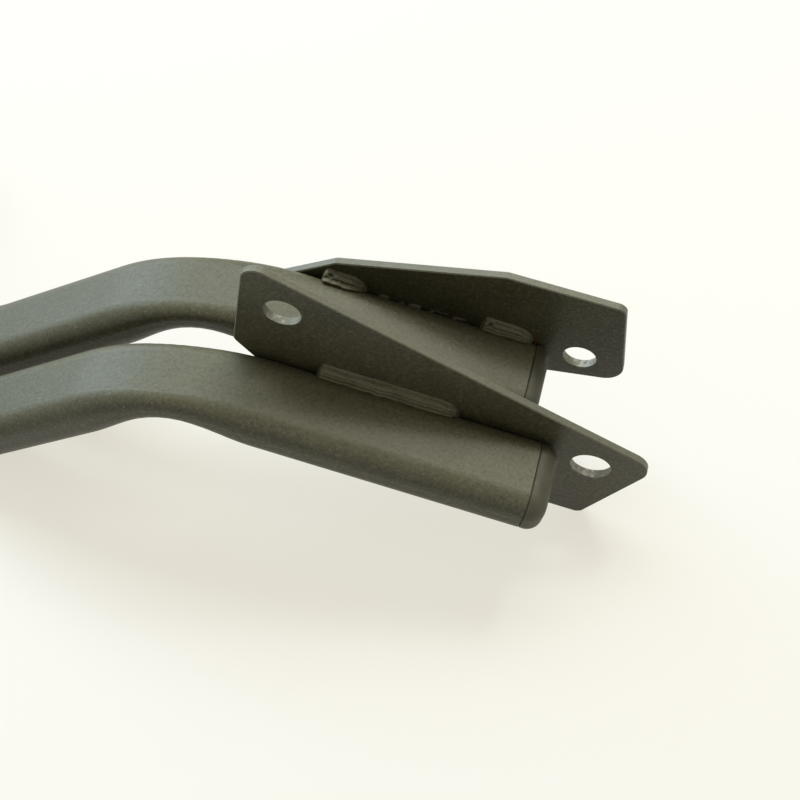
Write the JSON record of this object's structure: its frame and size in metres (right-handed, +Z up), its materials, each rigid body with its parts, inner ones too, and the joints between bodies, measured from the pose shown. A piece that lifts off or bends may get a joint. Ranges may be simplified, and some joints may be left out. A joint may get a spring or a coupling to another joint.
{
  "type": "motorcycle luggage rack",
  "caption": "Black powder-coated steel luggage rack: bent flat-oval rails with welded bolt-on plates at the front, plugged ends and flat cross bars that carry luggage.",
  "frame": {"origin": "middle of the luggage bolt pattern, on the cross bars' top faces", "axes": "+X to the machine's front, along the rails; +Y to its left; +Z up, square to the luggage face"},
  "size_m": [0.4565, 0.2, 0.0998],
  "materials": {
    "powder_coat": "satin, fine grain",
    "plug_plastic": "semi-matt moulded"
  },
  "bodies": {
    "root": {"front_bar_left_front_weld": "powder_coat", "front_bar_left_rear_weld": "powder_coat", "front_bar_right_front_weld": "powder_coat", "front_bar_right_rear_weld": "powder_coat", "front_cross_bar": "powder_coat", "left_front_plug": "plug_plastic", "left_front_weld": "powder_coat", "left_lower_weld": "powder_coat", "left_mounting_plate": "powder_coat", "left_rail": "powder_coat", "left_rear_plug": "plug_plastic", "left_rear_weld": "powder_coat", "middle_bar_left_front_weld": "powder_coat", "middle_bar_left_rear_weld": "powder_coat", "middle_bar_right_front_weld": "powder_coat", "middle_bar_right_rear_weld": "powder_coat", "middle_cross_bar": "powder_coat", "rear_bar_left_front_weld": "powder_coat", "rear_bar_left_rear_weld": "powder_coat", "rear_bar_right_front_weld": "powder_coat", "rear_bar_right_rear_weld": "powder_coat", "rear_cross_bar": "powder_coat", "right_front_plug": "plug_plastic", "right_lower_weld": "powder_coat", "right_mounting_plate": "powder_coat", "right_rail": "powder_coat", "right_rear_plug": "plug_plastic", "right_upper_weld": "powder_coat"}
  },
  "joints": []
}
